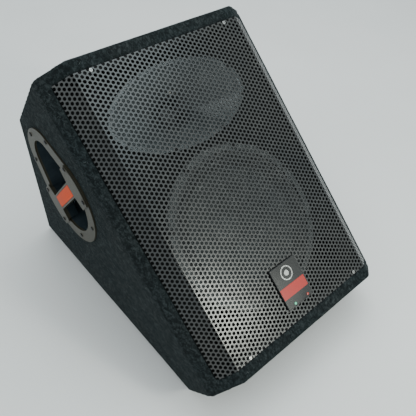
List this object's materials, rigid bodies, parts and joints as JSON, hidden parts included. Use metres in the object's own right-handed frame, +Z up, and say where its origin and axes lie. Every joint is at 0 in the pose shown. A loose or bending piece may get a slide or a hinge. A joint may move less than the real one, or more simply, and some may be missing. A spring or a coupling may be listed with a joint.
{
  "type": "pa speaker cabinet",
  "caption": "Carpeted active two-way wedge stage monitor with a bent perforated grille, woofer, elliptical horn, recessed side handles and a rear amplifier module.",
  "frame": {"origin": "on the floor under the middle of the overall box", "axes": "+Z up; the grille faces -Y and up; +X to the right of someone facing the grille"},
  "size_m": [0.4476, 0.5911, 0.4581],
  "materials": {
    "carpet": "needle-punched carpet",
    "board": "plywood",
    "baffle_paint": "black painted board",
    "grille_coat": "powder coat",
    "bright_screw": "plated",
    "black_screw": "black oxide",
    "badge_black": "gloss",
    "badge_red": "gloss",
    "badge_silver": "brushed",
    "green_lens": "clear",
    "red_lens": "clear",
    "circuit_green": "solder mask",
    "basket_steel": "satin black",
    "paper": "pressed pulp",
    "treated_cloth": "doped cloth",
    "spider_cloth": "varnished cloth",
    "coil": "wound wire",
    "plated_steel": "zinc plated",
    "ferrite": "sintered",
    "black_rubber": "matt",
    "horn_plastic": "moulded",
    "diaphragm": "satin",
    "handle_plastic": "textured",
    "plate_red": "semi gloss",
    "panel_paint": "fine texture",
    "black_aluminium": "anodised",
    "galvanised": "galvanised",
    "copper_tape": "taped winding",
    "knob_plastic": "moulded",
    "switch_plastic": "moulded",
    "wadding": "polyester fibre"
  },
  "bodies": {
    "cabinet": {"side_panel_left": "board", "side_panel_right": "board", "top_board": "board", "rear_board": "board", "floor_board": "board", "toe_board": "board", "baffle": "baffle_paint", "baffle_cleats": "board", "grille_battens": "baffle_paint", "carpet_wrap": "carpet", "carpet_side_left": "carpet", "carpet_side_right": "carpet", "grille": "grille_coat", "grille_screws": "bright_screw", "badge_body": "badge_black", "badge_band": "badge_red", "badge_emblem": "badge_silver", "power_light": "green_lens", "limit_light": "red_lens", "indicator_board": "circuit_green", "woofer_basket": "basket_steel", "woofer_gasket": "paper", "woofer_surround": "treated_cloth", "woofer_spider": "spider_cloth", "woofer_top_plate": "plated_steel", "woofer_magnet": "ferrite", "woofer_back_plate": "plated_steel", "woofer_terminals": "switch_plastic", "baffle_screws": "black_screw", "horn_flare": "horn_plastic", "port_tubes": "horn_plastic", "hf_magnet": "ferrite", "hf_diaphragm": "diaphragm", "hf_cover": "switch_plastic", "handle_cup_left": "handle_plastic", "handle_cup_right": "handle_plastic", "grip_bar_left": "handle_plastic", "grip_bar_right": "handle_plastic", "grip_plate_left": "plate_red", "grip_plate_right": "plate_red", "black_screws": "black_screw", "amp_panel": "panel_paint", "heat_sink": "black_aluminium", "amp_cover": "galvanised", "circuit_board": "circuit_green", "transformer": "copper_tape", "mic_socket": "switch_plastic", "link_socket": "switch_plastic", "mains_inlet": "switch_plastic", "rubber_feet": "black_rubber", "damping_pads": "wadding"},
    "cone": {"woofer_cone": "paper", "woofer_dust_cap": "paper", "woofer_voice_coil": "coil"},
    "level_knob": {"knob_level": "knob_plastic"},
    "bass_knob": {"knob_bass": "knob_plastic"},
    "treble_knob": {"knob_treble": "knob_plastic"},
    "line_button": {"line_switch": "switch_plastic"},
    "latch": {"mic_latch": "switch_plastic"},
    "fuse_holder": {"fuse_drawer": "switch_plastic"},
    "rocker": {"power_switch": "switch_plastic"}
  },
  "joints": [
    {"name": "cone_travel", "type": "slide", "parent": "cabinet", "child": "cone", "axis": [0, -0.6225, 0.7826], "range_m": [-0.005, 0.005], "stiffness_N_per_m": 3000, "deforming": ["woofer_surround", "woofer_spider"]},
    {"name": "level_turn", "type": "hinge", "parent": "cabinet", "child": "level_knob", "pos_m": [-0.002, 0.27955, 0.21817], "axis": [0, 1, 0], "range_deg": [-150, 150]},
    {"name": "bass_turn", "type": "hinge", "parent": "cabinet", "child": "bass_knob", "pos_m": [-0.048, 0.27955, 0.21817], "axis": [0, 1, 0], "range_deg": [-150, 150]},
    {"name": "treble_turn", "type": "hinge", "parent": "cabinet", "child": "treble_knob", "pos_m": [-0.094, 0.27955, 0.21817], "axis": [0, 1, 0], "range_deg": [-150, 150]},
    {"name": "line_press", "type": "slide", "parent": "cabinet", "child": "line_button", "axis": [0, -1, 0], "range_m": [0, 0.003], "stiffness_N_per_m": 300},
    {"name": "latch_press", "type": "slide", "parent": "cabinet", "child": "latch", "axis": [0, -1, 0], "range_m": [0, 0.0015], "stiffness_N_per_m": 400},
    {"name": "fuse_pull", "type": "slide", "parent": "cabinet", "child": "fuse_holder", "axis": [0, 1, 0], "range_m": [0, 0.015]},
    {"name": "power_rock", "type": "hinge", "parent": "cabinet", "child": "rocker", "pos_m": [-0.084, 0.27955, 0.09617], "axis": [1, 0, 0], "range_deg": [0, 18]}
  ]
}
